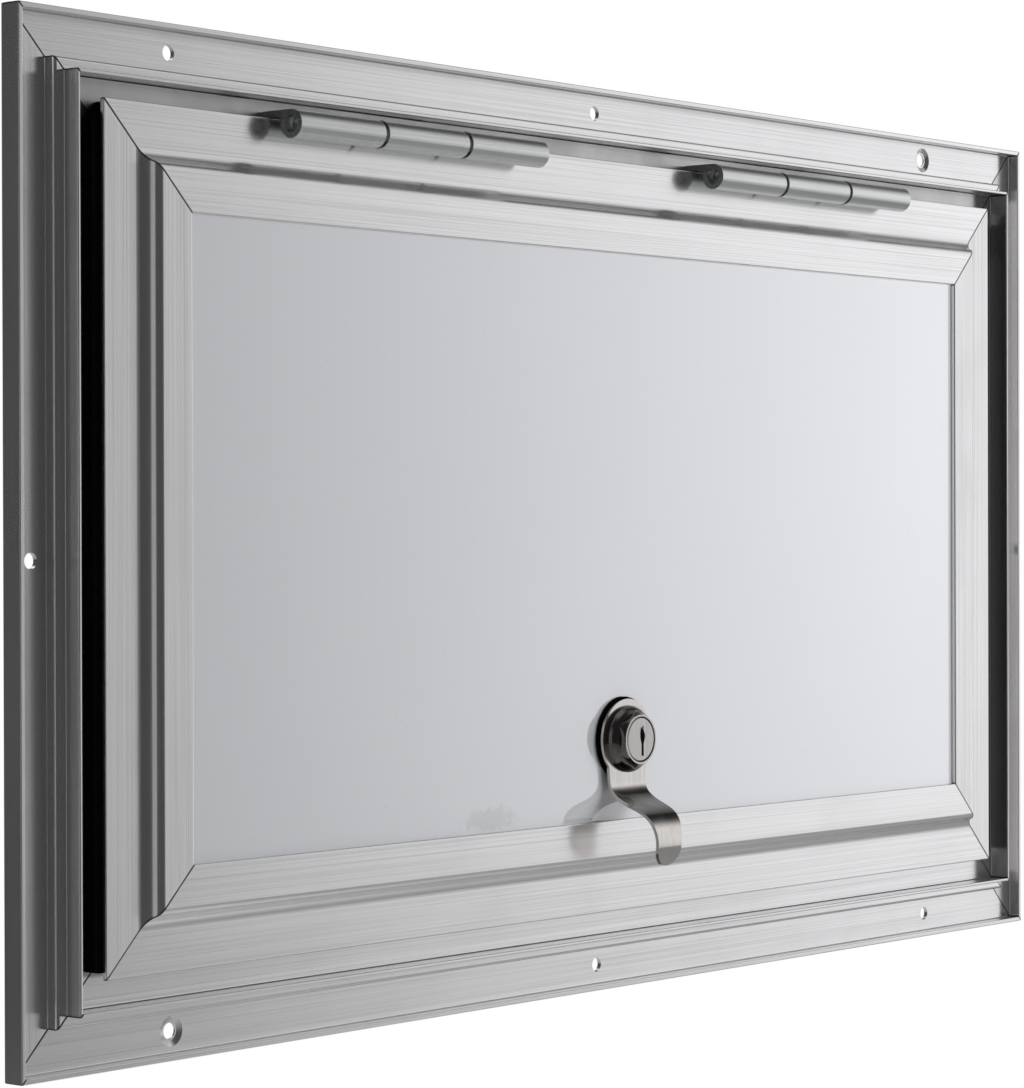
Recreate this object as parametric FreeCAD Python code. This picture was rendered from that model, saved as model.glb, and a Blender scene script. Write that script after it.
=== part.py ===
import FreeCAD, Part
import math
import os

# ---------------------------------------------------------------------------
# Baggage door for a caravan side wall: a mitred aluminium surround with a
# screw flange, and an insulated lift-up door on two short hinges with a
# key lock and a finger pull.
#
# Frame of the model (millimetres):
#   X  to the right, seen from outside the vehicle
#   Y  into the vehicle (minus Y is towards the person who opens the door)
#   Z  up
#   Y = 0 is the wall skin, the plane that the back of the flange sits on.
#   The origin is the centre of the four corner screws in that plane.
# ---------------------------------------------------------------------------

os.makedirs("parts", exist_ok=True)
V = FreeCAD.Vector

# ---- driving dimensions ----------------------------------------------------
frame_w = 533.4            # outside width of the surround (21 in)
frame_h = 304.8            # outside height of the surround (12 in)

lip_w = 1.6                # outer lip, width
lip_front = -7.1           # outer lip, front edge
flange_face = -2.6         # face that the screws sit on
flange_t = 1.5
wall1_b = 13.9             # first step, measured in from the outer edge
ledge_y = -6.7
ridge_b = 17.5             # outer face of the tall ridge
ridge_in_b = 18.6          # inner face of the tall ridge
ridge_y = -12.45
floor_y = -4.8             # floor of the recess that the door closes on
floor_t = 1.5
jamb_out_b = 35.2
jamb_in_b = 36.6
jamb_end_y = 14.25
mitre_gap = 0.15           # each mitre face stands this far back

hole_d = 4.8               # flange screw holes
hole_b = 8.0               # in from the outer edge
hole_dx = 203.2            # corner holes, from the middle
side_hole_z = -5.0         # side holes sit a little low
csk_d = 9.2                # formed countersink round two of the holes

seal_out_b = 26.3
seal_top_b = 25.4          # the foam strip sits a little high
seal_bottom_b = 29.0
seal_in_b = 35.1
seal_front = -9.0
seal_cut = 5.6             # upper corners cut off at an angle

door_w = 474.6             # outside of the door's fin
door_h = 253.2
door_z = 1.05              # the door sits this much high in the surround
fin_y = -10.6
fin_back = -9.3
flat_s = 12.9              # outer flat, from the fin's edge
ogee_s = 19.4              # end of the moulded step
inner_y = -15.2            # inner flat
lip_s = 31.3               # inner edge of the door's moulding
panel_y = -13.6            # face of the painted panel
skin_t = 0.9
box_s = 15.0               # outer face of the box leg behind the fin
box_t = 1.3
door_back_y = 12.3
back_flange_s = 27.0

axis_y = -17.3             # hinge pins
axis_z = 125.75
hinge_x = (-107.0, 106.8)  # middles of the two hinges
hinge_len = 118.0
knuckle_gap = 1.7
barrel_r = 4.4
pin_r = 2.55
bore_r = 2.60
pin_recess = 3.0
leaf_t = 1.6
web_t = 2.0                # web between the barrel and the leaf
frame_leaf_bottom_z = 118.2

lock_x = 0.0
lock_z = -67.2
lock_face_y = -21.8
gasket_r = 14.2
gasket_t = 1.4
pull_r = 13.5
pull_t = 1.2
dome_r = 11.3
barrel_lock_r = 9.5
lock_flat = 8.3            # flats on the lock's barrel, from its axis
plug_r = 6.35
plug_head_r = 7.3
plug_head_gap = 0.4        # open ring round the plug's head
cam_len = 54.0
cam_w = 16.0
cam_t = 2.5


# ---- helpers ----------------------------------------------------------------
def rounded_wire(pts):
    """Closed wire through (u, v, radius) corners, lines joined by arcs."""
    n = len(pts)
    ends = []
    for i in range(n):
        x, y, r = pts[i]
        if r <= 0:
            ends.append((V(x, y, 0), V(x, y, 0), None))
            continue
        xp, yp, _ = pts[i - 1]
        xn, yn, _ = pts[(i + 1) % n]
        a = V(xp - x, yp - y, 0)
        b = V(xn - x, yn - y, 0)
        a.normalize()
        b.normalize()
        half = math.acos(max(-1.0, min(1.0, a.dot(b)))) / 2.0
        d = r / math.tan(half)
        c = V(x, y, 0)
        p1 = c + a * d
        p2 = c + b * d
        m = a + b
        m.normalize()
        mid = c + m * (r / math.sin(half) - r)
        ends.append((p1, p2, mid))
    edges = []
    for i in range(n):
        p1, p2, mid = ends[i]
        if mid is not None:
            edges.append(Part.Arc(p1, mid, p2).toShape())
        q1 = ends[(i + 1) % n][0]
        if (q1 - p2).Length > 1e-7:
            edges.append(Part.LineSegment(p2, q1).toShape())
    return Part.Wire(edges)


def ogee(p, q):
    """S-curve points from p to q, level at both ends, as two arcs."""
    ds = q[0] - p[0]
    dy = abs(q[1] - p[1])
    ang = 2.0 * math.atan2(dy, ds)
    r = ds / math.sin(ang)
    r1 = r * 0.62
    r2 = r - r1
    sg = -1.0 if q[1] < p[1] else 1.0
    c1 = (p[0], p[1] + sg * r1)
    c2 = (q[0], q[1] - sg * r2)

    def on1(a):
        return V(c1[0] + r1 * math.sin(a), c1[1] - sg * r1 * math.cos(a), 0)

    def on2(a):
        return V(c2[0] - r2 * math.sin(a), c2[1] + sg * r2 * math.cos(a), 0)

    return (Part.Arc(on1(0), on1(ang / 2), on1(ang)).toShape(),
            Part.Arc(on2(ang), on2(ang / 2), on2(0)).toShape(), on1(ang))


def box(x0, x1, y0, y1, z0, z1):
    return Part.makeBox(x1 - x0, y1 - y0, z1 - z0, V(x0, y0, z0))


def cyl_y(x, z, r, y0, y1):
    return Part.makeCylinder(r, y1 - y0, V(x, y0, z), V(0, 1, 0))


def cyl_x(y, z, r, x0, x1):
    return Part.makeCylinder(r, x1 - x0, V(x0, y, z), V(1, 0, 0))


def cone_y(x, z, r0, r1, y0, y1):
    return Part.makeCone(r0, r1, y1 - y0, V(x, y0, z), V(0, 1, 0))


def prism_y(pts, y0, y1):
    """Polygon in X and Z carried along Y."""
    w = Part.makePolygon([V(x, y0, z) for x, z in pts] + [V(pts[0][0], y0, pts[0][1])])
    return Part.Face(w).extrude(V(0, y1 - y0, 0))


def rail(face2d, side, w, h, zc, depth, y0, y1):
    """One mitred length of a profile drawn as (in from the edge, Y).

    side is T, B, L or R.  The profile is carried along the side and then
    trimmed to the mitre planes of the corners."""
    f = face2d.copy()
    if side in "TB":
        # drawn x -> in from the edge, drawn y -> Y, carried along X
        m = FreeCAD.Matrix(0, 0, 1, -w / 2,
                           0, 1, 0, 0,
                           -1, 0, 0, h / 2 + zc,
                           0, 0, 0, 1)
        f.transformShape(m)
        s = f.extrude(V(w, 0, 0))
        g = mitre_gap * math.sqrt(2.0)
        trap = [(-w / 2 + g, h / 2 + zc), (w / 2 - g, h / 2 + zc),
                (w / 2 - depth - g, h / 2 - depth + zc), (-w / 2 + depth + g, h / 2 - depth + zc)]
        s = s.common(prism_y(trap, y0, y1))
        if side == "B":
            s = s.mirror(V(0, 0, zc), V(0, 0, 1))
    else:
        m = FreeCAD.Matrix(1, 0, 0, -w / 2,
                           0, 1, 0, 0,
                           0, 0, 1, -h / 2 + zc,
                           0, 0, 0, 1)
        f.transformShape(m)
        s = f.extrude(V(0, 0, h))
        g = mitre_gap * math.sqrt(2.0)
        trap = [(-w / 2, -h / 2 + g + zc), (-w / 2, h / 2 - g + zc),
                (-w / 2 + depth, h / 2 - depth - g + zc), (-w / 2 + depth, -h / 2 + depth + g + zc)]
        s = s.common(prism_y(trap, y0, y1))
        if side == "R":
            s = s.mirror(V(0, 0, 0), V(1, 0, 0))
    return s


def single(shape):
    """The one solid of a shape."""
    sol = shape.Solids
    if len(sol) != 1:
        raise ValueError("expected one solid, got %d" % len(sol))
    return sol[0]


def rivet_y(x, z, head_y, head_r, r, y_tail, tail_r, tail_t):
    """Flush rivet along Y: countersunk head in front, upset tail behind."""
    s = cone_y(x, z, head_r, r, head_y, head_y + (head_r - r))
    s = s.fuse(cyl_y(x, z, r, head_y, y_tail))
    s = s.fuse(cone_y(x, z, tail_r, tail_r * 0.8, y_tail, y_tail + tail_t))
    return s.removeSplitter()


nodes = {}

# ---- surround ---------------------------------------------------------------
frame_pts = [
    (0, 0, 0), (0, lip_front, 0.3), (lip_w, lip_front, 0.3), (lip_w, flange_face, 0.5),
    (wall1_b, flange_face, 0.3), (wall1_b, ledge_y, 1.0), (ridge_b, ledge_y, 0.4),
    (ridge_b, ridge_y, 0.35), (ridge_in_b, ridge_y, 0.35), (ridge_in_b, floor_y, 0.5),
    (jamb_in_b, floor_y, 0.4), (jamb_in_b, jamb_end_y, 0.2), (jamb_out_b, jamb_end_y, 0.2),
    (jamb_out_b, floor_y + floor_t, 0),
    (33.6, floor_y + floor_t, 0), (33.6, -1.3, 0), (32.7, -1.3, 0), (32.7, floor_y + floor_t, 0),
    (20.9, floor_y + floor_t, 0), (20.9, -1.3, 0), (20.0, -1.3, 0), (20.0, floor_y + floor_t, 0),
    (ridge_b, floor_y + floor_t, 0), (ridge_b, ledge_y + 1.4, 0),
    (wall1_b + 1.4, ledge_y + 1.4, 0), (wall1_b + 1.4, 0, 0), (wall1_b, 0, 0),
    (wall1_b, flange_face + flange_t, 0), (lip_w, flange_face + flange_t, 0), (lip_w, 0, 0),
]
frame_face = Part.Face(rounded_wire(frame_pts))
frame_names = {"T": "frame_top", "B": "frame_bottom", "L": "frame_left", "R": "frame_right"}
corner_holes = [(-hole_dx, frame_h / 2 - hole_b), (hole_dx, frame_h / 2 - hole_b),
                (-hole_dx, -frame_h / 2 + hole_b), (hole_dx, -frame_h / 2 + hole_b)]
mid_holes = [(0.0, frame_h / 2 - hole_b), (0.0, -frame_h / 2 + hole_b)]
side_holes = [(-frame_w / 2 + hole_b, side_hole_z), (frame_w / 2 - hole_b, side_hole_z)]
csk_holes = [corner_holes[1], corner_holes[2]]

rivet_r = 1.6
frame_rivet_z = 122.7
frame_rivet_dx = (-52.0, -30.0, 30.0, 52.0)

holes = None
for x, z in corner_holes + mid_holes + side_holes:
    c = cyl_y(x, z, hole_d / 2, -5.0, 1.0)
    holes = c if holes is None else holes.fuse(c)
for x, z in csk_holes:
    # shallow dished ring round the hole
    holes = holes.fuse(cone_y(x, z, csk_d / 2, hole_d / 2 + 0.55, flange_face - 0.001, flange_face + 0.95))

rivet_holes = None
for hx in hinge_x:
    for dx in frame_rivet_dx:
        c = cyl_y(hx + dx, frame_rivet_z, rivet_r, floor_y - 0.5, floor_y + floor_t + 0.5)
        rivet_holes = c if rivet_holes is None else rivet_holes.fuse(c)

for side, name in frame_names.items():
    s = rail(frame_face, side, frame_w, frame_h, 0.0, jamb_in_b + 1.0, -20.0, 20.0)
    s = s.cut(holes)
    if side == "T":
        s = s.cut(rivet_holes)
    nodes[name] = single(s)

# flat L keys staked in the channel behind the recess floor, one per corner
keys = []
kb0, kb1, kl = 21.0, 32.6, 46.0
for sx in (-1, 1):
    for sz in (-1, 1):
        x_out, z_out = frame_w / 2 - kb0, frame_h / 2 - kb0
        x_in, z_in = frame_w / 2 - kb1, frame_h / 2 - kb1
        pts = [(x_out, z_out), (x_out - kl, z_out), (x_out - kl, z_in), (x_in, z_in),
               (x_in, z_out - kl), (x_out, z_out - kl)]
        pts = [(sx * x, sz * z) for x, z in pts]
        keys.append(single(prism_y(pts, floor_y + floor_t, floor_y + floor_t + 1.6)))
nodes["frame_corner_keys"] = Part.makeCompound(keys)

# ---- hinges ------------------------------------------------------------------
third = (hinge_len - 2 * knuckle_gap) / 3.0
web_top = axis_z + barrel_r
web_bot = web_top - web_t


def leaf_section(pts):
    """Section drawn as (Y, Z) corners with radii, as a face at X = 0."""
    w = rounded_wire(pts)
    m = FreeCAD.Matrix(0, 0, 1, 0,
                       1, 0, 0, 0,
                       0, 1, 0, 0,
                       0, 0, 0, 1)
    f = Part.Face(w)
    f.transformShape(m)
    return f


def knuckle(face, x0, x1):
    s = face.copy()
    s.translate(V(x0, 0, 0))
    s = s.extrude(V(x1 - x0, 0, 0))
    s = s.fuse(cyl_x(axis_y, axis_z, barrel_r, x0, x1))
    return s


# frame leaf: flat back from the top of the barrel, then down on the floor
# of the recess, under the seal
frame_web = leaf_section([
    (axis_y, web_top, 0), (axis_y, axis_z + 2.2, 0), (axis_y + 3.4, web_bot - 0.9, 0.8),
    (axis_y + 7.0, web_bot, 1.5),
    (floor_y - leaf_t, web_bot, 0.3), (floor_y - leaf_t, frame_leaf_bottom_z, 0.3),
    (floor_y, frame_leaf_bottom_z, 0), (floor_y, web_top, 0.8)])
strip = leaf_section([
    (floor_y - leaf_t, web_bot, 0.3), (floor_y - leaf_t, frame_leaf_bottom_z, 0.3),
    (floor_y, frame_leaf_bottom_z, 0), (floor_y, web_bot, 0)])
# door leaf: back over the top edge of the fin, down behind it, then back
# along the top of the door's box
door_leg_top = door_z + door_h / 2 - box_s
door_web = leaf_section([
    (axis_y, web_top, 0), (axis_y, axis_z + 2.2, 0), (axis_y + 3.4, web_bot - 0.9, 0.8),
    (axis_y + 5.4, web_bot, 0.6),
    (fin_back, web_bot, 0.1), (fin_back, door_leg_top, 0),
    (9.0, door_leg_top, 0.2), (9.0, door_leg_top + 1.5, 0.2), (fin_back + 1.5, door_leg_top + 1.5, 0.5),
    (fin_back + 1.5, web_top, 0.8)])

frame_rivets = []
door_rivets = []
door_rivet_holes = None
for tag, hx in zip(("left", "right"), hinge_x):
    x0 = hx - hinge_len / 2
    x1 = hx + hinge_len / 2
    xa, xb = x0 + third, x0 + third + knuckle_gap
    xc, xd = x1 - third - knuckle_gap, x1 - third
    bore = cyl_x(axis_y, axis_z, bore_r, x0 - 1, x1 + 1)
    fl = knuckle(frame_web, x0, xa).fuse(knuckle(frame_web, xd, x1))
    st = strip.copy()
    st.translate(V(xa, 0, 0))
    fl = fl.fuse(st.extrude(V(xd - xa, 0, 0)))
    fl = fl.cut(bore)
    for dx in frame_rivet_dx:
        fl = fl.cut(cyl_y(hx + dx, frame_rivet_z, rivet_r, floor_y - 4, floor_y + 1))
        fl = fl.cut(cone_y(hx + dx, frame_rivet_z, 2.9, rivet_r, floor_y - leaf_t, floor_y - leaf_t + 2.9 - rivet_r))
        frame_rivets.append(single(rivet_y(hx + dx, frame_rivet_z, floor_y - leaf_t, 2.9, rivet_r,
                                           floor_y + floor_t, 2.6, 0.9)))
    nodes["hinge_%s_frame_leaf" % tag] = single(fl.removeSplitter())

    dl = knuckle(door_web, xb, xc).cut(cyl_x(axis_y, axis_z, pin_r + 0.05, x0 - 1, x1 + 1))
    for dx in (-12.0, 12.0):
        for yy in (3.5,):
            h = Part.makeCylinder(rivet_r, 8.0, V(hx + dx, yy, door_leg_top - 4), V(0, 0, 1))
            dl = dl.cut(h)
            door_rivet_holes = h if door_rivet_holes is None else door_rivet_holes.fuse(h)
            r = Part.makeCylinder(rivet_r, 1.5 + box_t, V(hx + dx, yy, door_leg_top - box_t), V(0, 0, 1))
            head = Part.makeCone(2.9, 2.1, 0.8, V(hx + dx, yy, door_leg_top + 1.5), V(0, 0, 1))
            tail = Part.makeCone(2.1, 2.6, 0.9, V(hx + dx, yy, door_leg_top - box_t - 0.9), V(0, 0, 1))
            door_rivets.append(single(r.fuse(head).fuse(tail).removeSplitter()))
    nodes["hinge_%s_door_leaf" % tag] = single(dl.removeSplitter())

    # pin, a little short of the barrel at both ends, with peened ends
    pin = cyl_x(axis_y, axis_z, pin_r, x0 + pin_recess + 0.4, x1 - pin_recess - 0.4)
    pin = pin.fuse(Part.makeCone(1.7, pin_r, 0.4, V(x0 + pin_recess, axis_y, axis_z), V(1, 0, 0)))
    pin = pin.fuse(Part.makeCone(pin_r, 1.7, 0.4, V(x1 - pin_recess - 0.4, axis_y, axis_z), V(1, 0, 0)))
    nodes["hinge_%s_pin" % tag] = single(pin.removeSplitter())

nodes["frame_hinge_rivets"] = Part.makeCompound(frame_rivets)
nodes["door_hinge_rivets"] = Part.makeCompound(door_rivets)

# ---- perimeter seal ----------------------------------------------------------
def flat_face(pts, y):
    """Face at one depth from (x, z, radius) corners."""
    f = Part.Face(rounded_wire(pts))
    m = FreeCAD.Matrix(1, 0, 0, 0,
                       0, 0, -1, y,
                       0, 1, 0, 0,
                       0, 0, 0, 1)
    f.transformShape(m)
    return f


sx_o, sz_t, sz_b = frame_w / 2 - seal_out_b, frame_h / 2 - seal_top_b, -frame_h / 2 + seal_bottom_b
sx_i, sz_i = frame_w / 2 - seal_in_b, frame_h / 2 - seal_in_b
seal_outer = flat_face([(-sx_o, sz_b, 1.5), (sx_o, sz_b, 1.5), (sx_o, sz_t - seal_cut, 1.0), (sx_o - seal_cut, sz_t, 1.0),
                        (-sx_o + seal_cut, sz_t, 1.0), (-sx_o, sz_t - seal_cut, 1.0)], seal_front)
seal_inner = flat_face([(-sx_i, -sz_i, 1.5), (sx_i, -sz_i, 1.5), (sx_i, sz_i, 1.5), (-sx_i, sz_i, 1.5)], seal_front - 1)
seal = seal_outer.extrude(V(0, floor_y - seal_front, 0)).cut(seal_inner.extrude(V(0, floor_y - seal_front + 2, 0)))
for hx in hinge_x:
    x0 = hx - hinge_len / 2
    x1 = hx + hinge_len / 2
    xb, xc = x0 + third + knuckle_gap, x1 - third - knuckle_gap
    seal = seal.cut(box(x0 - 0.2, x1 + 0.2, floor_y - leaf_t, floor_y + 0.5, frame_leaf_bottom_z - 0.2, 131.0))
    seal = seal.cut(box(xb - 0.8, xc + 0.8, seal_front - 0.5, fin_back + 1.5 + 0.3, 110.0, 131.0))
    # clear of the leaf's corner as it swings
    seal = seal.cut(box(xb - 0.8, xc + 0.8, seal_front - 0.5, floor_y + 0.5, 121.0, 131.0))
nodes["perimeter_seal"] = single(seal)

# ---- door -------------------------------------------------------------------
e1, e2, mid = ogee((flat_s, fin_y), (ogee_s, inner_y))


def seg(a, b):
    return Part.LineSegment(V(a[0], a[1], 0), V(b[0], b[1], 0)).toShape()


def corner_arc(a, c, b, r):
    """Line from a to the corner c, arc, and the point where it leaves."""
    va = V(a[0] - c[0], a[1] - c[1], 0)
    vb = V(b[0] - c[0], b[1] - c[1], 0)
    va.normalize()
    vb.normalize()
    half = math.acos(va.dot(vb)) / 2
    d = r / math.tan(half)
    cc = V(c[0], c[1], 0)
    m = va + vb
    m.normalize()
    p1, p2 = cc + va * d, cc + vb * d
    pm = cc + m * (r / math.sin(half) - r)
    return p1, pm, p2


# front of the moulding: fin edge, outer flat, moulded step, inner flat, lip
a1, am, a2 = corner_arc((0, fin_back), (0, fin_y), (flat_s, fin_y), 0.3)
b1, bm, b2 = corner_arc((ogee_s, inner_y), (lip_s, inner_y), (lip_s, panel_y), 0.45)
edges = [
    Part.LineSegment(V(0, fin_back, 0), a1).toShape(),
    Part.Arc(a1, am, a2).toShape(),
    Part.LineSegment(a2, V(flat_s, fin_y, 0)).toShape(),
    e1, e2,
    Part.LineSegment(V(ogee_s, inner_y, 0), b1).toShape(),
    Part.Arc(b1, bm, b2).toShape(),
    Part.LineSegment(b2, V(lip_s, panel_y, 0)).toShape(),
]
back_pts = [(lip_s, panel_y), (lip_s - 1.2, panel_y), (lip_s - 1.2, inner_y + 1.3), (19.9, inner_y + 1.3),
            (17.6, -12.6), (16.6, -11.0), (box_s + box_t, -9.8), (box_s + box_t, door_back_y - 1.3),
            (back_flange_s, door_back_y - 1.3), (back_flange_s, door_back_y), (box_s, door_back_y),
            (box_s, fin_back), (0, fin_back)]
for p, q in zip(back_pts[:-1], back_pts[1:]):
    edges.append(seg(p, q))
door_face2d = Part.Face(Part.Wire(edges))
door_names = {"T": "door_rail_top", "B": "door_rail_bottom", "L": "door_stile_left", "R": "door_stile_right"}
for side, name in door_names.items():
    s = rail(door_face2d, side, door_w, door_h, door_z, lip_s + 1.0, -20.0, 20.0)
    if side == "T":
        s = s.cut(door_rivet_holes)
    nodes[name] = single(s)

keys = []
kb0, kb1, kl = box_s + box_t, 20.8, 34.0
for sx in (-1, 1):
    for sz in (-1, 1):
        x_out, z_out = door_w / 2 - kb0, door_h / 2 - kb0
        x_in, z_in = door_w / 2 - kb1, door_h / 2 - kb1
        pts = [(x_out, z_out), (x_out - kl, z_out), (x_out - kl, z_in), (x_in, z_in),
               (x_in, z_out - kl), (x_out, z_out - kl)]
        pts = [(sx * x, sz * z + door_z) for x, z in pts]
        keys.append(single(prism_y(pts, -8.5, 8.0)))
nodes["door_corner_keys"] = Part.makeCompound(keys)


def dd_cut(y0, y1, r, flat):
    """Round bar with two flats, for the lock's barrel and its holes."""
    c = cyl_y(lock_x, lock_z, r, y0, y1)
    return c.common(box(lock_x - flat, lock_x + flat, y0, y1, lock_z - 20, lock_z + 20))


def slab(inset, y0, y1):
    w, h = door_w - 2 * inset, door_h - 2 * inset
    return box(-w / 2, w / 2, y0, y1, door_z - h / 2, door_z + h / 2)


lock_hole = dd_cut(-30, 30, barrel_lock_r + 0.05, lock_flat + 0.05)
nodes["door_face_panel"] = single(slab(21.0, panel_y, panel_y + skin_t).cut(lock_hole))
nodes["door_core"] = single(slab(21.0, panel_y + skin_t, door_back_y - 1.3 - skin_t).cut(lock_hole))
nodes["door_back_panel"] = single(slab(16.8, door_back_y - 1.3 - skin_t, door_back_y - 1.3).cut(lock_hole))

# ---- lock -------------------------------------------------------------------
ring_front = panel_y - gasket_t - pull_t
g = cyl_y(lock_x, lock_z, gasket_r, panel_y - gasket_t, panel_y)
g = g.cut(cyl_y(lock_x, lock_z, barrel_lock_r + 0.1, -30, 30))
ed = [e for e in g.Edges if abs(e.BoundBox.YMin - (panel_y - gasket_t)) < 1e-6
      and abs(e.BoundBox.YMax - (panel_y - gasket_t)) < 1e-6 and e.BoundBox.XLength > 2 * gasket_r - 0.1]
nodes["lock_gasket"] = single(g.makeFillet(0.5, ed))

# finger pull: a pressed ring with a tongue that curves out and down
path = [(0.0, -81.6), (-0.12, -82.4), (-0.5, -83.5), (-1.6, -85.2), (-4.2, -87.3),
        (-8.4, -89.3), (-12.6, -91.2), (-15.8, -93.9), (-17.5, -97.6), (-17.9, -101.8),
        (-17.2, -105.8), (-16.1, -109.2)]
y_mid = panel_y - gasket_t - pull_t / 2
crv = Part.BSplineCurve()
crv.interpolate([V(0, y_mid + py, pz) for py, pz in path])
u0, u1 = crv.FirstParameter, crv.LastParameter
front, back = [], []
steps = 60
for i in range(steps + 1):
    u = u0 + (u1 - u0) * i / steps
    pnt = crv.value(u)
    t = crv.tangent(u)
    t = t[0] if isinstance(t, (tuple, list)) else t
    nrm = V(0, -t.z, t.y)
    nrm.normalize()
    if nrm.y > 0:
        nrm = nrm * -1.0
    front.append(pnt + nrm * (pull_t / 2))
    back.append(pnt - nrm * (pull_t / 2))
front[0] = V(0, y_mid - pull_t / 2, path[0][1])
back[0] = V(0, y_mid + pull_t / 2, path[0][1])
z_top = -51.0
fc = Part.BSplineCurve()
fc.interpolate(front)
bc = Part.BSplineCurve()
bc.interpolate(back)
top_f = V(0, y_mid - pull_t / 2, z_top)
top_b = V(0, y_mid + pull_t / 2, z_top)
w = Part.Wire([Part.LineSegment(top_b, top_f).toShape(), Part.LineSegment(top_f, front[0]).toShape(),
               fc.toShape(), Part.LineSegment(front[-1], back[-1]).toShape(), bc.toShape(),
               Part.LineSegment(back[0], top_b).toShape()])
ribbon = Part.Face(w).extrude(V(40, 0, 0))
ribbon.translate(V(-20 + lock_x, 0, 0))
# front outline of the pull
half = [(10.0, -76.6), (9.75, -79.0), (9.45, -82.5), (9.2, -86.0), (8.6, -90.0), (7.6, -94.0), (6.75, -98.0), (6.35, -101.5),
        (6.2, -104.0)]
tip_r = 6.1
tip_c = (0.0, -104.2)
right = Part.BSplineCurve()
right.interpolate([V(lock_x + a, -60, b) for a, b in half])
left = Part.BSplineCurve()
left.interpolate([V(lock_x - a, -60, b) for a, b in reversed(half)])
pr, pl = V(lock_x + half[-1][0], -60, half[-1][1]), V(lock_x - half[-1][0], -60, half[-1][1])
tip = Part.Arc(pr, V(lock_x, -60, -109.0), pl).toShape()
qr, ql = V(lock_x + half[0][0], -60, half[0][1]), V(lock_x - half[0][0], -60, half[0][1])
tongue = Part.Face(Part.Wire([right.toShape(), tip, left.toShape(),
                              Part.LineSegment(ql, V(lock_x - half[0][0], -60, lock_z)).toShape(),
                              Part.LineSegment(V(lock_x - half[0][0], -60, lock_z), V(lock_x + half[0][0], -60, lock_z)).toShape(),
                              Part.LineSegment(V(lock_x + half[0][0], -60, lock_z), qr).toShape()])).extrude(V(0, 60, 0))
outline = tongue.fuse(cyl_y(lock_x, lock_z, pull_r, -60, 0)).removeSplitter()
pull = ribbon.common(outline).cut(cyl_y(lock_x, lock_z, barrel_lock_r + 0.1, -30, 30))
nodes["finger_pull"] = single(pull)

# lock body: domed flange, six-sided head, bezel, and a barrel with two flats
y0 = ring_front
prof = [V(0, y0, 0), V(dome_r, y0, 0)]
dome = Part.BSplineCurve()
dome_pts = [(dome_r, y0), (dome_r - 0.05, y0 - 0.8), (dome_r - 0.45, y0 - 1.9), (dome_r - 1.2, y0 - 2.9), (dome_r - 2.3, y0 - 3.7)]
dome.interpolate([V(a, b, 0) for a, b in dome_pts])
wire = Part.Wire([Part.LineSegment(V(0, y0, 0), V(dome_r, y0, 0)).toShape(), dome.toShape(),
                  Part.LineSegment(V(dome_pts[-1][0], dome_pts[-1][1], 0), V(0, dome_pts[-1][1], 0)).toShape(),
                  Part.LineSegment(V(0, dome_pts[-1][1], 0), V(0, y0, 0)).toShape()])
flange = Part.Face(wire).revolve(V(0, 0, 0), V(0, 1, 0), 360)
# six-sided head with its corners turned away
hex_r = 9.9
hexpts = [(hex_r * math.sin(math.radians(60 * k)), hex_r * math.cos(math.radians(60 * k))) for k in range(6)]
hx_y0, hx_y1 = lock_face_y - 0.1, y0 - 2.2
hexp = prism_y(hexpts, hx_y0, hx_y1)
turn_pts = [(0, hx_y0), (8.3, hx_y0), (8.5, hx_y0 + 0.25), (9.35, hx_y0 + 1.5), (9.8, hx_y0 + 2.6), (9.95, hx_y1 + 0.01), (0, hx_y1 + 0.01)]
turn = Part.Face(Part.makePolygon([V(a, b, 0) for a, b in turn_pts] + [V(0, hx_y0, 0)])).revolve(V(0, 0, 0), V(0, 1, 0), 360)
head = flange.fuse(hexp.common(turn))
head.translate(V(lock_x, 0, lock_z))
body = head.fuse(dd_cut(y0 - 0.01, 14.4, barrel_lock_r, lock_flat))
plug_step_y = lock_face_y + 2.0
body = body.cut(cyl_y(lock_x, lock_z, plug_r + 0.06, -30, 30))
body = body.cut(cyl_y(lock_x, lock_z, plug_head_r + plug_head_gap, -30, plug_step_y + 0.1))
nodes["lock_body"] = single(body.removeSplitter())

nut_pts = [(14.4 * math.cos(math.radians(60 * k)), 14.4 * math.sin(math.radians(60 * k))) for k in range(6)]
nut = prism_y([(lock_x + a, lock_z + b) for a, b in nut_pts], door_back_y - 1.3, door_back_y + 1.6)
cham = Part.Face(Part.makePolygon([V(0, door_back_y - 1.3, 0), V(14.4, door_back_y - 1.3, 0), V(14.4, door_back_y + 0.7, 0),
                                   V(12.9, door_back_y + 1.6, 0), V(0, door_back_y + 1.6, 0), V(0, door_back_y - 1.3, 0)]))
cham = cham.revolve(V(0, 0, 0), V(0, 1, 0), 360)
cham.translate(V(lock_x, 0, lock_z))
nut = nut.common(cham).cut(cyl_y(lock_x, lock_z, barrel_lock_r, -30, 30))
nodes["lock_nut"] = single(nut)

# key plug: face, shaft, keyway, square end for the cam
cam_y0 = 14.7
plug = cyl_y(lock_x, lock_z, plug_head_r, lock_face_y, plug_step_y)
plug = plug.fuse(cyl_y(lock_x, lock_z, plug_r, plug_step_y, cam_y0))
plug = plug.fuse(box(lock_x - 3.95, lock_x + 3.95, cam_y0 - 0.01, cam_y0 + cam_t, lock_z - 3.95, lock_z + 3.95).common(
    cyl_y(lock_x, lock_z, 5.1, cam_y0 - 0.01, cam_y0 + cam_t)))
face_edge = [e for e in plug.removeSplitter().Edges if abs(e.BoundBox.YMin - lock_face_y) < 1e-6
             and abs(e.BoundBox.YMax - lock_face_y) < 1e-6]
plug = plug.removeSplitter().makeFillet(0.3, face_edge)
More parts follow.
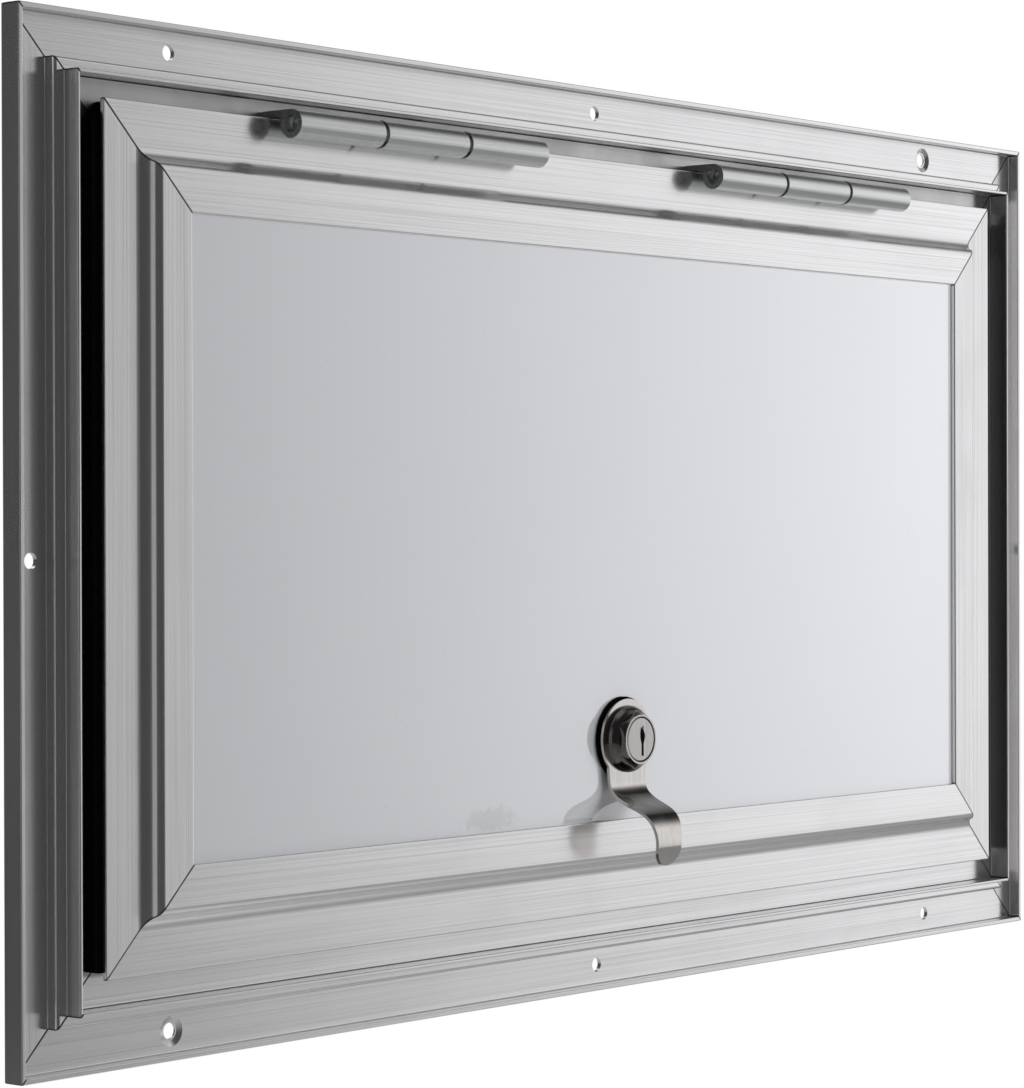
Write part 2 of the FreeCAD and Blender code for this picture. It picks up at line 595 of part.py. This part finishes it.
# keyway: a shallow broached slot, with the deep opening inside it
plug = plug.cut(box(lock_x - 1.2, lock_x + 1.55, lock_face_y - 1, lock_face_y + 0.3, lock_z - 5.7, lock_z + 4.4))
lens = [(0.45, 4.3), (1.1, 3.5), (1.9, 2.4), (2.35, 1.4), (2.35, 0.6), (2.0, -0.4), (1.65, -1.2), (1.55, -1.8),
        (1.55, -5.5), (0.75, -5.5), (0.75, -1.8), (0.6, -1.2), (0.25, -0.3), (0.05, 0.8), (0.05, 1.9), (0.2, 3.2)]
plug = plug.cut(prism_y([(lock_x + a, lock_z + b) for a, b in lens], lock_face_y - 1, 9.0))
# cross slots for the wafers, and the thread hole for the cam screw
wafer_y = [-16.5 + 4.2 * k for k in range(5)]
for wy in wafer_y:
    plug = plug.cut(box(lock_x - 3.1, lock_x + 3.1, wy - 0.5, wy + 0.5, lock_z - 8, lock_z + 8))
plug = plug.cut(cyl_y(lock_x, lock_z, 1.9, 9.6, 30))
nodes["key_plug"] = max(plug.Solids, key=lambda q: q.Volume)

wafers = []
for k, wy in enumerate(wafer_y):
    wz = 5.2
    b = box(lock_x - 3.0, lock_x + 3.0, wy - 0.4, wy + 0.4, lock_z - wz, lock_z + wz)
    win = box(lock_x - 1.7, lock_x + 1.7, wy - 1, wy + 1, lock_z - 3.2 - 0.2 * (k % 2), lock_z + 3.2 + 0.15 * (k % 3))
    wafers.append(single(b.cut(win)))
nodes["plug_wafers"] = Part.makeCompound(wafers)

# cam: points to the right when the lock is open, down when it is locked
cam = box(lock_x, lock_x + cam_len - 5.0, cam_y0, cam_y0 + cam_t, lock_z - cam_w / 2, lock_z + cam_w / 2)
cam = cam.fuse(cyl_y(lock_x, lock_z, cam_w / 2 + 1.0, cam_y0, cam_y0 + cam_t))
tip_pts = [(lock_x + cam_len - 5.0, lock_z - cam_w / 2), (lock_x + cam_len, lock_z - cam_w / 2 + 4.0),
           (lock_x + cam_len, lock_z + cam_w / 2 - 4.0), (lock_x + cam_len - 5.0, lock_z + cam_w / 2)]
cam = cam.fuse(prism_y(tip_pts, cam_y0, cam_y0 + cam_t))
cam = cam.cut(box(lock_x - 4.0, lock_x + 4.0, 0, 30, lock_z - 4.0, lock_z + 4.0).common(cyl_y(lock_x, lock_z, 5.15, 0, 30)))
nodes["lock_cam"] = single(cam.removeSplitter())
wy0 = cam_y0 + cam_t
washer = cyl_y(lock_x, lock_z, 7.0, wy0, wy0 + 1.0).cut(cyl_y(lock_x, lock_z, 2.1, 0, 30))
nodes["cam_washer"] = single(washer)
screw = cyl_y(lock_x, lock_z, 1.9, 10.0, wy0 + 1.0).fuse(cyl_y(lock_x, lock_z, 3.7, wy0 + 1.0, wy0 + 3.2))
screw = screw.removeSplitter()
top = [e for e in screw.Edges if abs(e.BoundBox.YMin - (wy0 + 3.2)) < 1e-6]
screw = screw.makeFillet(1.0, top)
for a in (0, 90):
    b = box(-2.2, 2.2, wy0 + 1.9, wy0 + 4, -0.45, 0.45)
    b.rotate(V(0, 0, 0), V(0, 1, 0), a)
    b.translate(V(lock_x, 0, lock_z))
    screw = screw.cut(b)
nodes["cam_screw"] = single(screw)

# ---- write ------------------------------------------------------------------
total = 0.0
for name in sorted(nodes):
    s = nodes[name]
    ok = s.isValid()
    bb = s.BoundBox
    total += s.Volume
    print("%-24s valid=%s solids=%d vol=%.0f  x %.2f..%.2f y %.2f..%.2f z %.2f..%.2f" % (
        name, ok, len(s.Solids), s.Volume, bb.XMin, bb.XMax, bb.YMin, bb.YMax, bb.ZMin, bb.ZMax))
    s.exportStep("parts/%s.step" % name)
print("nodes", len(nodes), "volume cm3 %.1f" % (total / 1000.0))
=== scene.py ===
import bpy
import math
from mathutils import Matrix, Vector

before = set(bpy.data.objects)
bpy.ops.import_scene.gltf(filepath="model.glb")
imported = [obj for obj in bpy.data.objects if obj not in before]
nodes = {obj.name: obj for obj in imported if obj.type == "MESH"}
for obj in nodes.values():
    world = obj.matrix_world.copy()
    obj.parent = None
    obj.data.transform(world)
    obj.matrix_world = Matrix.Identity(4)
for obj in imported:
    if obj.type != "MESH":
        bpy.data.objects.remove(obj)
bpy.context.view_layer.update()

sc = bpy.context.scene


# ---------------------------------------------------------------- materials
class Graph:
    """Small helper round one material's or world's node tree."""

    def __init__(self, tree):
        self.t = tree
        tree.nodes.clear()

    def new(self, kind, **props):
        n = self.t.nodes.new(kind)
        for k, v in props.items():
            setattr(n, k, v)
        return n

    def link(self, a, b):
        self.t.links.new(a, b)

    def put(self, sock, v):
        if hasattr(v, "is_linked") or hasattr(v, "links"):
            self.link(v, sock)
        elif v is not None:
            sock.default_value = v

    def math(self, op, a, b=None, c=None, clamp=False):
        n = self.new("ShaderNodeMath", operation=op, use_clamp=clamp)
        self.put(n.inputs[0], a)
        if b is not None:
            self.put(n.inputs[1], b)
        if c is not None:
            self.put(n.inputs[2], c)
        return n.outputs[0]

    def vmath(self, op, a, b=None):
        n = self.new("ShaderNodeVectorMath", operation=op)
        self.put(n.inputs[0], a)
        if b is not None:
            self.put(n.inputs[1], b)
        return n.outputs["Value"] if op in ("DOT_PRODUCT", "LENGTH", "DISTANCE") else n.outputs["Vector"]

    def ramp(self, fac, stops, interp="LINEAR"):
        n = self.new("ShaderNodeValToRGB")
        n.color_ramp.interpolation = interp
        el = n.color_ramp.elements
        while len(el) > 1:
            el.remove(el[-1])
        el[0].position = stops[0][0]
        el[0].color = col(stops[0][1])
        for p, c in stops[1:]:
            e = el.new(p)
            e.color = col(c)
        self.put(n.inputs[0], fac)
        return n.outputs[0]

    def remap(self, v, a, b, c, d, clamp=True, smooth=False):
        n = self.new("ShaderNodeMapRange", clamp=clamp)
        if smooth:
            n.interpolation_type = "SMOOTHSTEP"
        self.put(n.inputs[0], v)
        for i, x in enumerate((a, b, c, d)):
            n.inputs[i + 1].default_value = x
        return n.outputs[0]

    def noise(self, vec, scale, detail=2.0, rough=0.5, dist=0.0):
        n = self.new("ShaderNodeTexNoise")
        self.put(n.inputs["Vector"], vec)
        n.inputs["Scale"].default_value = scale
        n.inputs["Detail"].default_value = detail
        n.inputs["Roughness"].default_value = rough
        n.inputs["Distortion"].default_value = dist
        return n.outputs[0]

    def stretch(self, vec, scale):
        n = self.new("ShaderNodeMapping")
        self.put(n.inputs["Vector"], vec)
        n.inputs["Scale"].default_value = scale
        return n.outputs[0]

    def mix(self, fac, a, b, blend="MIX"):
        n = self.new("ShaderNodeMix", data_type="RGBA", blend_type=blend)
        self.put(n.inputs[0], fac)
        self.put(n.inputs[6], col(a) if isinstance(a, (tuple, list, float)) else a)
        self.put(n.inputs[7], col(b) if isinstance(b, (tuple, list, float)) else b)
        return n.outputs[2]


def col(c):
    if isinstance(c, (int, float)):
        return (c, c, c, 1.0)
    return (c[0], c[1], c[2], c[3] if len(c) > 3 else 1.0)


def material(name):
    m = bpy.data.materials.new(name)
    m.use_nodes = True
    g = Graph(m.node_tree)
    out = g.new("ShaderNodeOutputMaterial")
    bsdf = g.new("ShaderNodeBsdfPrincipled")
    g.link(bsdf.outputs[0], out.inputs["Surface"])
    obj = g.new("ShaderNodeTexCoord").outputs["Object"]
    return m, g, bsdf, obj


def bump(g, bsdf, height, distance, strength=1.0):
    n = g.new("ShaderNodeBump")
    n.inputs["Strength"].default_value = strength
    n.inputs["Distance"].default_value = distance
    g.link(height, n.inputs["Height"])
    g.link(n.outputs[0], bsdf.inputs["Normal"])
    return n


def grain_tangent(g, bsdf, axis):
    """Tangent along the grain, carried with the object."""
    v = g.new("ShaderNodeCombineXYZ")
    v.inputs["XYZ".index(axis)].default_value = 1.0
    t = g.new("ShaderNodeVectorTransform", vector_type="VECTOR", convert_from="OBJECT", convert_to="WORLD")
    g.link(v.outputs[0], t.inputs[0])
    g.link(t.outputs[0], bsdf.inputs["Tangent"])


def across(axis, along, over):
    """Scale vector: few cycles along the grain, many across it."""
    s = [over, over, over]
    s["XYZ".index(axis)] = along
    return s


def aluminium(name, axis, tone=(0.872, 0.870, 0.872), rough=0.21, aniso=0.72, dirt=0.35, seed=0.0, recess=None, seam=None):
    """Mill-finish extrusion: long die lines, fine scratches, a few dull patches."""
    m, g, bsdf, obj = material(name)
    off = g.vmath("ADD", obj, (seed, seed * 1.7, seed * 0.6))
    fine = g.noise(g.stretch(off, across(axis, 7.0, 3800.0)), 1.0, 2.0, 0.6)
    lines = g.noise(g.stretch(off, across(axis, 2.6, 1500.0)), 1.0, 3.0, 0.65)
    broad = g.noise(g.stretch(off, across(axis, 0.8, 160.0)), 1.0, 2.0, 0.5)
    cloud = g.noise(off, 26.0, 4.0, 0.6)
    hair = g.noise(g.stretch(off, across(axis, 30.0, 4200.0)), 1.0, 1.0, 0.5)
    hair = g.remap(hair, 0.66, 0.78, 0.0, 1.0)
    streak = g.math("ADD", g.math("MULTIPLY", lines, 0.40), g.math("MULTIPLY", fine, 0.50))
    streak = g.math("ADD", streak, g.math("MULTIPLY", broad, 0.10))
    light = tuple(min(1.0, c * 1.06) for c in tone)
    dark = tuple(c * 0.83 for c in tone)
    base = g.ramp(streak, [(0.36, dark), (0.50, tone), (0.64, light)])
    base = g.mix(g.remap(cloud, 0.52, 0.75, 0.0, dirt * 0.3), base, tuple(c * 0.82 for c in tone))
    base = g.mix(g.math("MULTIPLY", hair, 0.25), base, (0.95, 0.95, 0.95))
    part = g.new("ShaderNodeSeparateXYZ")
    g.link(obj, part.inputs[0])
    ax = g.math("ABSOLUTE", part.outputs[0])
    az = g.math("ABSOLUTE", g.math("SUBTRACT", part.outputs[2], seam[1] if seam else 0.0))
    if recess:
        # painted shade: the floor of the recess above the door is darkened where the door and ridge shade it
        recess_shade = g.remap(part.outputs[1], recess - 0.0012, recess - 0.0002, 0.0, 1.0, smooth=True)
        inside = g.math("MULTIPLY", g.remap(ax, 0.2478, 0.2484, 1.0, 0.0), g.remap(az, 0.1335, 0.1341, 1.0, 0.0))
        recess_shade = g.math("MULTIPLY", recess_shade, inside)
        recess_shade = g.math("MULTIPLY", recess_shade, g.remap(part.outputs[2], 0.104, 0.116, 0.0, 1.0, smooth=True))
        base = g.mix(g.math("MULTIPLY", recess_shade, g.remap(cloud, 0.3, 0.7, 0.55, 1.0)), base, tuple(c * 0.52 for c in tone))
    if seam:
        # grime and saw marks along the mitres
        off_line = g.math("ABSOLUTE", g.math("SUBTRACT", g.math("SUBTRACT", ax, az), seam[0]))
        grime = g.math("ADD", off_line, g.math("MULTIPLY_ADD", cloud, 0.0009, -0.00045))
        base = g.mix(g.remap(grime, 0.00022, 0.00055, 0.85, 0.0), base, tuple(c * 0.10 for c in tone))
    g.link(base, bsdf.inputs["Base Color"])
    r = g.math("ADD", g.remap(streak, 0.3, 0.7, rough * 1.15, rough * 0.88), g.remap(cloud, 0.45, 0.8, 0.0, 0.04))
    g.link(r, bsdf.inputs["Roughness"])
    bsdf.inputs["Metallic"].default_value = 0.97
    bsdf.inputs["Anisotropic"].default_value = aniso
    bsdf.inputs["Anisotropic Rotation"].default_value = 0.25
    grain_tangent(g, bsdf, axis)
    h = g.math("ADD", g.math("MULTIPLY", lines, 0.6), g.math("MULTIPLY", fine, 0.4))
    bump(g, bsdf, h, 0.000006, 0.5)
    return m


def painted(name, smudge=None):
    """Smooth light grey coil paint on a metal skin."""
    m, g, bsdf, obj = material(name)
    cloud = g.noise(obj, 9.0, 3.0, 0.55)
    smear = g.noise(g.stretch(obj, (14.0, 30.0, 46.0)), 1.0, 4.0, 0.6, 0.4)
    speck = g.noise(obj, 900.0, 1.0, 0.5)
    speck = g.remap(speck, 0.74, 0.80, 0.0, 1.0)
    keep = g.remap(g.noise(obj, 60.0, 1.0, 0.5), 0.55, 0.62, 0.0, 1.0)
    speck = g.math("MULTIPLY", speck, keep)
    base = g.ramp(cloud, [(0.3, (0.838, 0.850, 0.876)), (0.7, (0.852, 0.864, 0.888))])
    base = g.mix(g.math("MULTIPLY", speck, 0.35), base, (0.40, 0.40, 0.40))
    if smudge:
        # a faint wiped mark on the face
        part = g.new("ShaderNodeSeparateXYZ")
        g.link(obj, part.inputs[0])
        sx = g.math("MULTIPLY", g.math("SUBTRACT", part.outputs[0], smudge[0]), 1.0 / 0.016)
        sz = g.math("MULTIPLY", g.math("SUBTRACT", part.outputs[2], smudge[1]), 1.0 / 0.0045)
        far = g.math("SQRT", g.math("ADD", g.math("MULTIPLY", sx, sx), g.math("MULTIPLY", sz, sz)))
        ragged = g.math("ADD", far, g.math("MULTIPLY_ADD", g.noise(obj, 380.0, 3.0, 0.6), 1.6, -0.8))
        base = g.mix(g.remap(ragged, 0.45, 1.0, 0.34, 0.0, smooth=True), base, (0.55, 0.56, 0.57))
    g.link(base, bsdf.inputs["Base Color"])
    r = g.remap(smear, 0.35, 0.7, 0.035, 0.055)
    r = g.math("ADD", r, g.math("MULTIPLY", speck, 0.2))
    g.link(r, bsdf.inputs["Roughness"])
    bsdf.inputs["Metallic"].default_value = 0.25
    bsdf.inputs["IOR"].default_value = 1.5
    peel = g.noise(obj, 420.0, 2.0, 0.5)
    bump(g, bsdf, peel, 0.000004, 0.5)
    return m


def rubber(name):
    """Black closed-cell foam rubber."""
    m, g, bsdf, obj = material(name)
    pores = g.new("ShaderNodeTexVoronoi")
    g.link(obj, pores.inputs["Vector"])
    pores.inputs["Scale"].default_value = 1400.0
    dust = g.noise(obj, 300.0, 3.0, 0.6)
    base = g.ramp(dust, [(0.35, (0.0012, 0.0012, 0.0013)), (0.75, (0.004, 0.004, 0.0042))])
    g.link(base, bsdf.inputs["Base Color"])
    g.link(g.remap(dust, 0.3, 0.7, 0.75, 0.9), bsdf.inputs["Roughness"])
    bsdf.inputs["Specular IOR Level"].default_value = 0.06
    bump(g, bsdf, pores.outputs["Distance"], 0.0001, 0.7)
    return m


def brushed(name, axis, tone, rough, aniso=0.6, contrast=0.12, painted_top_shade=False):
    """Brushed pressing: short even scratches along one axis."""
    m, g, bsdf, obj = material(name)
    fine = g.noise(g.stretch(obj, across(axis, 60.0, 4200.0)), 1.0, 2.0, 0.6)
    lines = g.noise(g.stretch(obj, across(axis, 18.0, 1300.0)), 1.0, 3.0, 0.6)
    cloud = g.noise(obj, 160.0, 3.0, 0.55)
    s = g.math("ADD", g.math("MULTIPLY", fine, 0.5), g.math("MULTIPLY", lines, 0.5))
    base = g.ramp(s, [(0.32, tuple(c * (1 - contrast) for c in tone)), (0.68, tuple(min(1, c * (1 + contrast)) for c in tone))])
    base = g.mix(g.remap(cloud, 0.5, 0.8, 0.0, 0.18), base, tuple(c * 0.7 for c in tone))
    if painted_top_shade:
        # painted shade: the upward faces are darkened to stand in for the dark surroundings they reflect
        facing = g.new("ShaderNodeSeparateXYZ")
        g.link(g.new("ShaderNodeTexCoord").outputs["Normal"], facing.inputs[0])
        up = g.remap(facing.outputs[2], 0.30, 0.62, 0.0, 1.0, smooth=True)
        base = g.mix(g.math("MULTIPLY", up, g.remap(cloud, 0.3, 0.7, 0.80, 1.0)), base, tuple(c * 0.17 for c in tone))
    g.link(base, bsdf.inputs["Base Color"])
    g.link(g.remap(s, 0.3, 0.7, rough * 1.2, rough * 0.85), bsdf.inputs["Roughness"])
    bsdf.inputs["Metallic"].default_value = 1.0
    bsdf.inputs["Anisotropic"].default_value = aniso
    bsdf.inputs["Anisotropic Rotation"].default_value = 0.25
    grain_tangent(g, bsdf, axis)
    bump(g, bsdf, s, 0.000012, 0.5)
    return m


def plated(name, tone, rough, wear=(0.5, 0.48, 0.46), bezel=None):
    """Polished dark plating with a little wear and handling marks."""
    m, g, bsdf, obj = material(name)
    cloud = g.noise(obj, 220.0, 4.0, 0.6)
    marks = g.noise(g.stretch(obj, (900.0, 900.0, 140.0)), 1.0, 3.0, 0.6)
    base = g.ramp(cloud, [(0.35, tuple(c * 0.85 for c in tone)), (0.7, tuple(c * 1.12 for c in tone))])
    base = g.mix(g.remap(marks, 0.62, 0.8, 0.0, 0.22), base, wear)
    if bezel:
        # the rim round the plug is worn bright
        part = g.new("ShaderNodeSeparateXYZ")
        g.link(obj, part.inputs[0])
        dx = part.outputs[0]
        dz = g.math("SUBTRACT", part.outputs[2], bezel[0])
        rad = g.math("SQRT", g.math("ADD", g.math("MULTIPLY", dx, dx), g.math("MULTIPLY", dz, dz)))
        rim = g.math("MULTIPLY", g.remap(rad, 0.0083, 0.0087, 1.0, 0.0), g.remap(part.outputs[1], bezel[1], bezel[1] + 0.00008, 1.0, 0.0))
        base = g.mix(g.math("MULTIPLY", rim, g.remap(cloud, 0.3, 0.7, 0.7, 1.0)), base, (0.62, 0.60, 0.58))
    g.link(base, bsdf.inputs["Base Color"])
    g.link(g.remap(cloud, 0.3, 0.75, rough * 0.8, rough * 1.35), bsdf.inputs["Roughness"])
    bsdf.inputs["Metallic"].default_value = 1.0
    bump(g, bsdf, cloud, 0.00001, 0.3)
    return m


def foam(name):
    m, g, bsdf, obj = material(name)
    cells = g.new("ShaderNodeTexVoronoi")
    g.link(obj, cells.inputs["Vector"])
    cells.inputs["Scale"].default_value = 420.0
    base = g.ramp(cells.outputs["Distance"], [(0.0, (0.86, 0.86, 0.83)), (0.6, (0.93, 0.93, 0.91))])
    g.link(base, bsdf.inputs["Base Color"])
    bsdf.inputs["Roughness"].default_value = 0.85
    bump(g, bsdf, cells.outputs["Distance"], 0.0003, 0.6)
    return m


al_x = aluminium("aluminium_grain_x", "X", seed=0.3, seam=(0.1107, 0.00105))
al_x2 = aluminium("aluminium_grain_x_b", "X", seed=2.1, seam=(0.1107, 0.00105))
al_z = aluminium("aluminium_grain_z", "Z", seed=1.4, seam=(0.1107, 0.00105))
al_z2 = aluminium("aluminium_grain_z_b", "Z", seed=3.2, seam=(0.1107, 0.00105))
al_frame_x = aluminium("frame_aluminium_x", "X", seed=4.4, tone=(0.868, 0.855, 0.858), recess=-0.0048, seam=(0.1143, 0.0))
al_frame_x2 = aluminium("frame_aluminium_x_b", "X", seed=5.9, tone=(0.868, 0.855, 0.858), recess=-0.0048, seam=(0.1143, 0.0))
al_frame_z = aluminium("frame_aluminium_z", "Z", seed=6.1, tone=(0.868, 0.855, 0.858), recess=-0.0048, seam=(0.1143, 0.0))
al_frame_z2 = aluminium("frame_aluminium_z_b", "Z", seed=7.7, tone=(0.868, 0.855, 0.858), recess=-0.0048, seam=(0.1143, 0.0))
al_hinge = aluminium("hinge_aluminium", "X", tone=(0.72, 0.735, 0.73), rough=0.24, aniso=0.2, dirt=0.8, seed=8.8)
paint = painted("panel_paint_grey", smudge=(-0.0690, -0.0900))
paint_back = painted("back_panel_paint")
black = rubber("black_foam_rubber")
gasket = rubber("black_gasket")
steel_pull = brushed("brushed_stainless_pull", "Z", (0.72, 0.69, 0.66), 0.14, aniso=0.5, painted_top_shade=True)
dark = plated("dark_plated_lock", (0.17, 0.155, 0.15), 0.14, bezel=(-0.0672, -0.02165))
face = brushed("satin_plug_face", "Z", (0.66, 0.65, 0.63), 0.30, aniso=0.3, contrast=0.05)
zinc = plated("zinc_steel", (0.60, 0.61, 0.62), 0.28, wear=(0.4, 0.38, 0.34))
brass = brushed("stamped_brass", "Z", (0.76, 0.58, 0.28), 0.28)
board = foam("foam_board")

looks = {
    "frame_top": al_frame_x, "frame_bottom": al_frame_x2, "frame_left": al_frame_z, "frame_right": al_frame_z2,
    "frame_corner_keys": zinc, "perimeter_seal": black,
    "hinge_left_frame_leaf": al_hinge, "hinge_right_frame_leaf": al_hinge,
    "hinge_left_pin": zinc, "hinge_right_pin": zinc, "frame_hinge_rivets": al_hinge,
    "door_rail_top": al_x, "door_rail_bottom": al_x2, "door_stile_left": al_z, "door_stile_right": al_z2,
    "door_corner_keys": zinc, "door_face_panel": paint, "door_core": board, "door_back_panel": paint_back,
    "hinge_left_door_leaf": al_hinge, "hinge_right_door_leaf": al_hinge, "door_hinge_rivets": al_hinge,
    "lock_gasket": gasket, "finger_pull": steel_pull, "lock_body": dark, "lock_nut": zinc,
    "key_plug": face, "plug_wafers": brass, "lock_cam": zinc, "cam_washer": zinc, "cam_screw": zinc,
}
for name, obj in nodes.items():
    m = looks[name]
    if not obj.material_slots:
        obj.data.materials.append(m)
    for s in obj.material_slots:
        s.material = m

# ---------------------------------------------------------------- light
world = bpy.data.worlds.new("studio")
sc.world = world
world.use_nodes = True
g = Graph(world.node_tree)
out = g.new("ShaderNodeOutputWorld")
coord = g.new("ShaderNodeTexCoord").outputs["Generated"]
d = g.vmath("NORMALIZE", coord)
xyz = g.new("ShaderNodeSeparateXYZ")
g.link(d, xyz.inputs[0])
dx, dy, dz = xyz.outputs
# heading: 0 along +X, 90 towards the person in front (-Y), 180 along -X
head = g.math("MULTIPLY", g.math("ARCTAN2", g.math("MULTIPLY", dy, -1.0), dx), 180.0 / math.pi)
elev = g.math("MULTIPLY", g.math("ARCSINE", dz), 180.0 / math.pi)


def lobe(h0, h1, h2, h3, e0, e1, e2, e3):
    """Soft-edged patch: rises over h0..h1, falls over h2..h3, the same in elevation."""
    a = g.remap(head, h0, h1, 0.0, 1.0, smooth=True)
    b = g.remap(head, h2, h3, 1.0, 0.0, smooth=True)
    c = g.remap(elev, e0, e1, 0.0, 1.0, smooth=True)
    e = g.remap(elev, e2, e3, 1.0, 0.0, smooth=True)
    return g.math("MULTIPLY", g.math("MULTIPLY", a, b), g.math("MULTIPLY", c, e))


def add(total, patch, value):
    return g.math("MULTIPLY_ADD", patch, value, total)


def curve(v, a, b, stops):
    """Value through (position, level) stops over a..b."""
    top = max(q for _, q in stops)
    r = g.ramp(g.remap(v, a, b, 0.0, 1.0), [((p - a) / (b - a), q / top) for p, q in stops], "LINEAR")
    return g.math("MULTIPLY", r, top)


level = g.math("MULTIPLY_ADD", g.remap(elev, -90.0, 90.0, 0.0, 1.0), 0.03, 0.045)
# the large soft panel on the right, fading towards the front
across_panel = curve(head, -40.0, 80.0, [(-30, 0.0), (-12, 0.7), (8, 0.96), (24, 1.0), (31, 0.97), (33.5, 0.93), (36, 0.87),
                                         (38.6, 0.79), (41, 0.69), (43.4, 0.58), (45.4, 0.47), (47.3, 0.36), (50, 0.23),
                                         (56, 0.09), (66, 0.0)])
up_panel = curve(elev, -50.0, 40.0, [(-44, 0.0), (-34, 0.12), (-22, 0.42), (-10, 0.84), (-3, 0.97), (4, 1.0), (9, 0.98),
                                     (14, 0.86), (20, 0.52), (28, 0.16), (36, 0.0)])
level = g.math("MULTIPLY_ADD", across_panel, up_panel, level)
# its upper part leans away and is narrower
across_top = curve(head, 0.0, 80.0, [(4, 0.0), (14, 0.18), (22, 0.62), (30, 0.95), (36, 1.0), (44, 0.75), (52, 0.35), (66, 0.0)])
up_top = curve(elev, 0.0, 80.0, [(12, 0.0), (20, 0.30), (28, 0.50), (36, 0.48), (46, 0.32), (60, 0.12), (75, 0.0)])
level = g.math("MULTIPLY_ADD", across_top, up_top, level)
# a weak strip on the left
level = add(level, lobe(160.0, 172.0, 178.0, 180.0, -40.0, -20.0, 20.0, 40.0), 0.45)
level = add(level, lobe(-180.0, -179.9, -176.0, -160.0, -40.0, -20.0, 20.0, 40.0), 0.45)
# overhead soft light
level = add(level, lobe(-181.0, -180.5, 180.5, 181.0, 58.0, 78.0, 91.0, 92.0), 0.6)
# soft light behind, for the inner side
level = add(level, lobe(-108.0, -92.0, -70.0, -54.0, -30.0, 0.0, 45.0, 65.0), 1.1)
tint = g.new("ShaderNodeCombineColor")
for i, k in enumerate((1.0, 1.0, 1.015)):
    g.link(g.math("MULTIPLY", level, k), tint.inputs[i])
studio = g.new("ShaderNodeBackground")
g.link(tint.outputs[0], studio.inputs[0])
studio.inputs[1].default_value = 1.0
white = g.new("ShaderNodeBackground")
white.inputs[0].default_value = (1, 1, 1, 1)
pick = g.new("ShaderNodeMixShader")
g.link(g.new("ShaderNodeLightPath").outputs["Is Camera Ray"], pick.inputs[0])
g.link(studio.outputs[0], pick.inputs[1])
g.link(white.outputs[0], pick.inputs[2])
g.link(pick.outputs[0], out.inputs["Surface"])

# near soft light on the right: it only brightens matt surfaces, the panel
# of the studio above is what the metal mirrors
lamp = bpy.data.lights.new("near_softbox", "AREA")
lamp.shape = "RECTANGLE"
lamp.size = 0.45
lamp.size_y = 0.45
lamp.energy = 3.05
lamp_obj = bpy.data.objects.new("near_softbox", lamp)
sc.collection.objects.link(lamp_obj)
lamp_obj.location = (0.40, -0.56, 0.10)
lamp_obj.rotation_euler = (Vector((0.02, 0.0, 0.02)) - lamp_obj.location).to_track_quat("-Z", "Y").to_euler()
lamp_obj.visible_camera = False
lamp_obj.visible_glossy = False

rear = bpy.data.lights.new("rear_softbox", "AREA")
rear.shape = "RECTANGLE"
rear.size = 0.6
rear.size_y = 0.6
rear.energy = 5.0
rear_obj = bpy.data.objects.new("rear_softbox", rear)
sc.collection.objects.link(rear_obj)
rear_obj.location = (0.35, 0.95, 0.45)
rear_obj.rotation_euler = (Vector((0.0, 0.0, 0.0)) - rear_obj.location).to_track_quat("-Z", "Y").to_euler()
rear_obj.visible_camera = False
rear_obj.visible_glossy = False

sc.view_settings.view_transform = "Standard"
sc.view_settings.look = "None"

# ---------------------------------------------------------------- floor
bpy.ops.mesh.primitive_circle_add(vertices=96, radius=2.4, fill_type="NGON", location=(0, 0, -0.62))
floor = bpy.context.object
floor.name = "floor"
m, g2, bsdf, obj = material("pale_floor")
n = g2.noise(obj, 6.0, 3.0, 0.5)
g2.link(g2.ramp(n, [(0.3, (0.84, 0.84, 0.84)), (0.7, (0.87, 0.87, 0.87))]), bsdf.inputs["Base Color"])
bsdf.inputs["Roughness"].default_value = 0.8
out2 = [k for k in m.node_tree.nodes if k.type == "OUTPUT_MATERIAL"][0]
pale = g2.new("ShaderNodeEmission")
g2.link(g2.ramp(n, [(0.3, (0.93, 0.93, 0.93)), (0.7, (0.96, 0.96, 0.96))]), pale.inputs[0])
pale.inputs[1].default_value = 0.55
both = g2.new("ShaderNodeAddShader")
g2.link(bsdf.outputs[0], both.inputs[0])
g2.link(pale.outputs[0], both.inputs[1])
seen = g2.new("ShaderNodeMixShader")
g2.link(g2.new("ShaderNodeLightPath").outputs["Is Camera Ray"], seen.inputs[0])
g2.link(bsdf.outputs[0], seen.inputs[1])
g2.link(both.outputs[0], seen.inputs[2])
g2.link(seen.outputs[0], out2.inputs["Surface"])
floor.data.materials.append(m)

# ---------------------------------------------------------------- camera
cam_data = bpy.data.cameras.new("camera")
cam = bpy.data.objects.new("camera", cam_data)
sc.collection.objects.link(cam)
right = Vector((0.63664456, -0.77115293, -0.00262041))
down = Vector((-0.00544735, -0.0010992, -0.99998456))
fwd = Vector((0.77113814, 0.636649, -0.00490054))
pos = Vector((-0.94633, -0.74713, 0.004387))
rot = Matrix((right, -down, -fwd)).transposed().to_4x4()
cam.matrix_world = Matrix.Translation(pos) @ rot
cam_data.sensor_fit = "HORIZONTAL"
cam_data.sensor_width = 36.0
cam_data.lens = 3546.6 / 1024.0 * 36.0
cam_data.clip_start = 0.01
cam_data.clip_end = 50.0
sc.camera = cam
